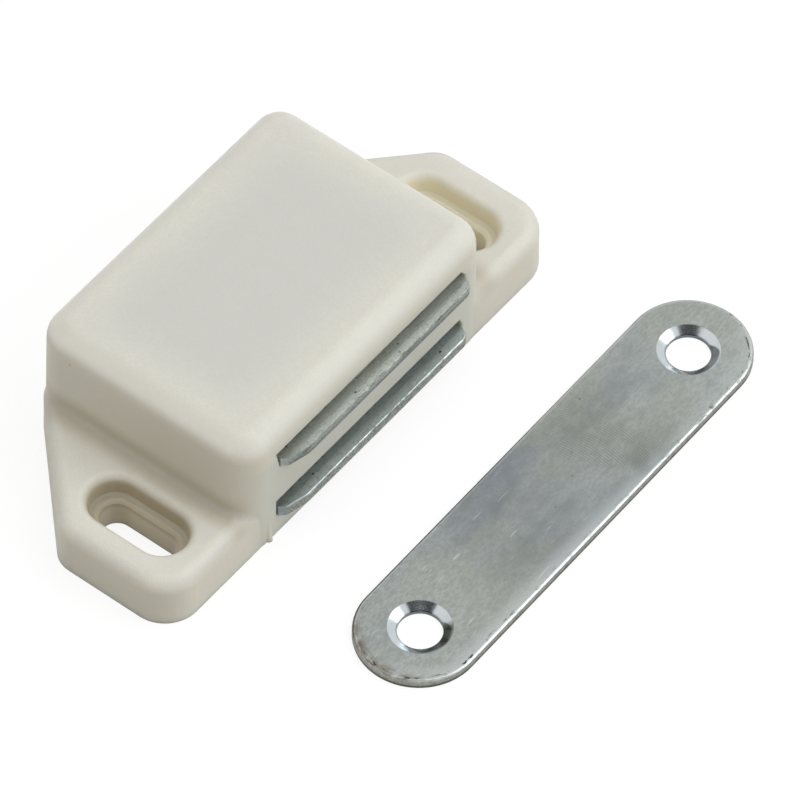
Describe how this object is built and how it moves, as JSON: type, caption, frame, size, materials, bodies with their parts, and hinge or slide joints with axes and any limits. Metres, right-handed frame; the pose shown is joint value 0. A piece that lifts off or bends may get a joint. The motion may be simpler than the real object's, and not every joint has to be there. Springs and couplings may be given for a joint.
{
  "type": "magnetic catch",
  "caption": "Low rectangular cabinet catch with a slotted screw ear at each end, flat steel pole plates in its front face and a loose countersunk strike plate.",
  "frame": {"origin": "middle of the catch body's footprint, on its mounting face", "axes": "+X along the catch from ear to ear, -Y out of the front face towards the strike plate, +Z away from the mounting face"},
  "size_m": [0.0641, 0.0507, 0.0155],
  "materials": {
    "housing_plastic": "off-white moulded plastic, satin",
    "pole_steel": "zinc-plated sheet steel",
    "ferrite": "dark sintered ferrite, dull",
    "strike_steel": "zinc-plated sheet steel, lightly scratched"
  },
  "bodies": {
    "housing": {"housing": "housing_plastic", "strike_plate": "strike_steel"},
    "magnet_pack": {"magnet": "ferrite", "upper_pole_plate": "pole_steel", "lower_pole_plate": "pole_steel"}
  },
  "joints": [
    {"name": "magnet_pack_float", "type": "slide", "parent": "housing", "child": "magnet_pack", "axis": [0, 1, 0], "range_m": [0, 0.0006]}
  ]
}
